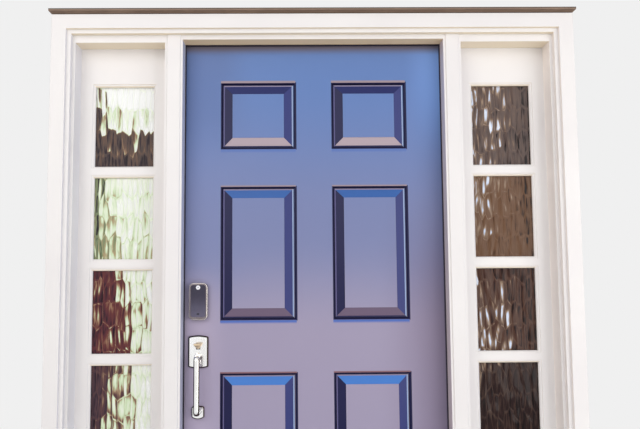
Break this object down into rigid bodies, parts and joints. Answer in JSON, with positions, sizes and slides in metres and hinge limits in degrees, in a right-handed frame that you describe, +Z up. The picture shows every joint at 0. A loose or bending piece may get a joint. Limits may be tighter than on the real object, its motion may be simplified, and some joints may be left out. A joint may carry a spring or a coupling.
{
  "type": "panelled entry door with sidelights",
  "caption": "Hinged exterior door with raised panels, in a frame with a divided glass sidelight on each side, stepped casing, drip cap, keypad deadbolt and bow handle.",
  "frame": {"origin": "middle of the sill's underside, on the plane of the jambs' outer edges, which is the face of the wall that the casing lies against", "axes": "+Z up, +X to the right seen from outside, +Y into the house"},
  "size_m": [1.7904, 0.2145, 2.1555],
  "materials": {
    "frame_paint": "white satin paint",
    "door_paint": "slate blue satin paint",
    "cap_metal": "dark bronze coated",
    "sill_composite": "grey composite",
    "deck_metal": "mill finish",
    "threshold_wood": "oiled oak",
    "seal": "soft foam and vinyl seal",
    "glass": "rippled",
    "nickel": "satin nickel",
    "bright_nickel": "polished nickel",
    "steel": "zinc plated",
    "touch_face": "gloss black",
    "housing_plastic": "satin nickel coloured",
    "cell": "plain wrapped cells",
    "disc": "plain pale disc"
  },
  "bodies": {
    "frame": {"deadbolt_strike": "nickel", "door_head_jamb": "frame_paint", "door_weatherstrip": "seal", "drip_cap": "cap_metal", "head_casing": "frame_paint", "hinge_jamb": "frame_paint", "hinge_pins": "nickel", "jamb_hinge_leaves": "nickel", "jamb_wood_screws": "nickel", "latch_jamb": "frame_paint", "latch_strike": "nickel", "left_casing": "frame_paint", "left_glass_panes": "glass", "left_glazing_beads": "frame_paint", "left_mull_cover": "frame_paint", "left_mull_jamb": "frame_paint", "left_sash_muntins": "frame_paint", "left_sash_rails": "frame_paint", "left_sash_stiles": "frame_paint", "left_side_jamb": "frame_paint", "left_sidelight_base": "frame_paint", "left_sidelight_head": "frame_paint", "right_casing": "frame_paint", "right_glass_panes": "glass", "right_glazing_beads": "frame_paint", "right_mull_cover": "frame_paint", "right_mull_jamb": "frame_paint", "right_sash_muntins": "frame_paint", "right_sash_rails": "frame_paint", "right_sash_stiles": "frame_paint", "right_side_jamb": "frame_paint", "right_sidelight_base": "frame_paint", "right_sidelight_head": "frame_paint", "sill_base": "sill_composite", "sill_deck": "deck_metal", "threshold_cap": "threshold_wood"},
    "door": {"batteries": "cell", "battery_cover": "housing_plastic", "deadbolt_case": "steel", "door_hinge_leaves": "nickel", "door_slab": "door_paint", "door_sweep": "seal", "door_wood_screws": "nickel", "handle_foot": "bright_nickel", "handle_grip": "bright_nickel", "handle_plate": "bright_nickel", "inside_lock_housing": "housing_plastic", "keypad_bezel": "nickel", "keypad_disc": "disc", "keypad_face": "touch_face", "latch_case": "steel", "lever_rose": "nickel", "lock_screws": "steel"},
    "latch": {"latch_bolt": "steel"},
    "deadbolt": {"deadbolt_bolt": "steel"},
    "thumb": {"thumbpiece": "bright_nickel"},
    "lever": {"inside_lever": "nickel", "lever_spindle": "steel"},
    "thumbturn": {"deadbolt_tailpiece": "steel", "thumbturn": "nickel"}
  },
  "joints": [
    {"name": "door_swing", "type": "hinge", "parent": "frame", "child": "door", "pos_m": [0.4586, 0.1226, 1.106], "axis": [0, 0, -1], "range_deg": [0, 120]},
    {"name": "lever_turn", "type": "hinge", "parent": "door", "child": "lever", "pos_m": [-0.397, 0.094, 1.008], "axis": [0, 1, 0], "range_deg": [0, 55], "stiffness_Nm_per_rad": 1, "springref_deg": -28.65},
    {"name": "latch_slide", "type": "slide", "parent": "door", "child": "latch", "axis": [1, 0, 0], "range_m": [0, 0.0128]},
    {"name": "thumb_press", "type": "hinge", "parent": "door", "child": "thumb", "pos_m": [-0.397, 0.0665, 1.002], "axis": [1, 0, 0], "range_deg": [0, 15.2]},
    {"name": "thumbturn_turn", "type": "hinge", "parent": "door", "child": "thumbturn", "pos_m": [-0.397, 0.143, 1.1477], "axis": [0, 1, 0], "range_deg": [0, 90]},
    {"name": "deadbolt_slide", "type": "slide", "parent": "door", "child": "deadbolt", "axis": [-1, 0, 0], "range_m": [0, 0.0255]}
  ],
  "couplings": [
    {"joint": "latch_slide", "follows": "lever_turn", "m_per_rad": 0.01323},
    {"joint": "thumb_press", "follows": "lever_turn", "ratio": 0.2727},
    {"joint": "deadbolt_slide", "follows": "thumbturn_turn", "m_per_rad": 0.01617}
  ]
}
